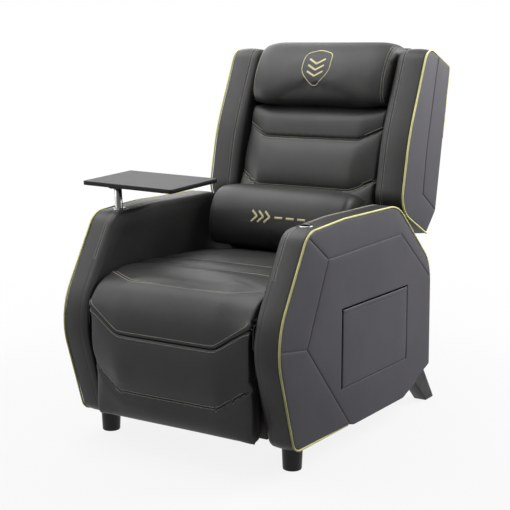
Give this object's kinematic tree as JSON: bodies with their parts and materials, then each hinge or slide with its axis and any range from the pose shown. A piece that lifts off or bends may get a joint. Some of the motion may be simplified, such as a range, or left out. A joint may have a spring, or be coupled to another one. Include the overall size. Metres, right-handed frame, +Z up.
{
  "type": "gaming recliner",
  "caption": "One-seat gaming recliner with winged reclining back, raising footrest, headrest, lumbar pillow, side pocket and swivelling lift-off side tray.",
  "frame": {"origin": "on the floor, below the middle of the whole chair's bounding box, the tray included", "axes": "+Z up, the chair faces -Y, and +X is towards the sitter's left"},
  "size_m": [0.7726, 0.9977, 1.089],
  "materials": {
    "black_leather": "satin",
    "side_leather": "matte",
    "piping": "satin",
    "plywood": "matte",
    "hardwood": "matte",
    "leg_plastic": "satin",
    "black_steel": "satin",
    "zinc_steel": "satin",
    "chrome": "polished",
    "tray_laminate": "matte"
  },
  "bodies": {
    "base": {"arm_pad_left": "black_leather", "arm_pad_right": "black_leather", "arm_board_left": "plywood", "arm_board_right": "plywood", "side_panel_left": "side_leather", "side_panel_right": "side_leather", "arm_piping_left": "piping", "arm_piping_right": "piping", "side_pocket": "side_leather", "front_leg_left": "leg_plastic", "front_leg_right": "leg_plastic", "rear_leg_left": "leg_plastic", "rear_leg_right": "leg_plastic", "front_rail": "hardwood", "rear_rail": "hardwood", "mechanism_plate_left": "zinc_steel", "mechanism_plate_right": "zinc_steel", "footrest_pin_left": "zinc_steel", "footrest_pin_right": "zinc_steel", "back_pin_left": "zinc_steel", "back_pin_right": "zinc_steel", "seat_rail_front": "black_steel", "seat_rail_rear": "black_steel", "seat_spring_1": "zinc_steel", "seat_spring_2": "zinc_steel", "seat_spring_3": "zinc_steel", "seat_spring_4": "zinc_steel", "seat_cushion": "black_leather", "tray_socket_left": "chrome", "tray_socket_right": "chrome"},
    "footrest": {"footrest_board": "plywood", "footrest_pad": "black_leather", "footrest_bracket_left": "zinc_steel", "footrest_bracket_right": "zinc_steel"},
    "drive": {"torque_tube": "black_steel", "crank_left": "zinc_steel", "crank_right": "zinc_steel"},
    "left_link": {"coupler_left": "zinc_steel"},
    "right_link": {"coupler_right": "zinc_steel"},
    "back": {"back_board": "plywood", "back_rail_low": "hardwood", "back_rail_top": "hardwood", "rear_panel": "side_leather", "back_cushion": "black_leather", "headrest_cushion": "black_leather", "lumbar_pillow": "black_leather", "wing_left": "black_leather", "wing_right": "black_leather", "wing_panel_left": "side_leather", "wing_panel_right": "side_leather", "wing_piping_left": "piping", "wing_piping_right": "piping", "back_bracket_left": "zinc_steel", "back_bracket_right": "zinc_steel"},
    "post": {"tray_post": "chrome"},
    "tray": {"tray_flange": "black_steel", "tray_top": "tray_laminate"}
  },
  "joints": [
    {"name": "back_recline", "type": "hinge", "parent": "base", "child": "back", "pos_m": [0.03404, 0.2096, 0.385], "axis": [-1, 0, 0], "range_deg": [0, 53]},
    {"name": "footrest_lift", "type": "hinge", "parent": "base", "child": "footrest", "pos_m": [0.03404, -0.4554, 0.38], "axis": [-1, 0, 0], "range_deg": [0, 85]},
    {"name": "drive_turn", "type": "hinge", "parent": "base", "child": "drive", "pos_m": [0.03404, -0.2454, 0.345], "axis": [-1, 0, 0], "range_deg": [0, 85]},
    {"name": "left_link_turn", "type": "hinge", "parent": "drive", "child": "left_link", "pos_m": [0.28824, -0.1804, 0.305], "axis": [-1, 0, 0], "range_deg": [-85, 0]},
    {"name": "right_link_turn", "type": "hinge", "parent": "drive", "child": "right_link", "pos_m": [-0.22016, -0.1804, 0.305], "axis": [-1, 0, 0], "range_deg": [-85, 0]},
    {"name": "tray_lift", "type": "slide", "parent": "base", "child": "post", "axis": [0, -0.0706, 0.9975], "range_m": [0, 0.088]},
    {"name": "tray_swivel", "type": "hinge", "parent": "post", "child": "tray", "pos_m": [-0.27056, -0.2904, 0.6271], "axis": [0, -0.0706, 0.9975], "continuous": true}
  ],
  "couplings": [
    {"joint": "drive_turn", "follows": "footrest_lift", "ratio": 1},
    {"joint": "left_link_turn", "follows": "footrest_lift", "ratio": -1},
    {"joint": "right_link_turn", "follows": "footrest_lift", "ratio": -1}
  ]
}
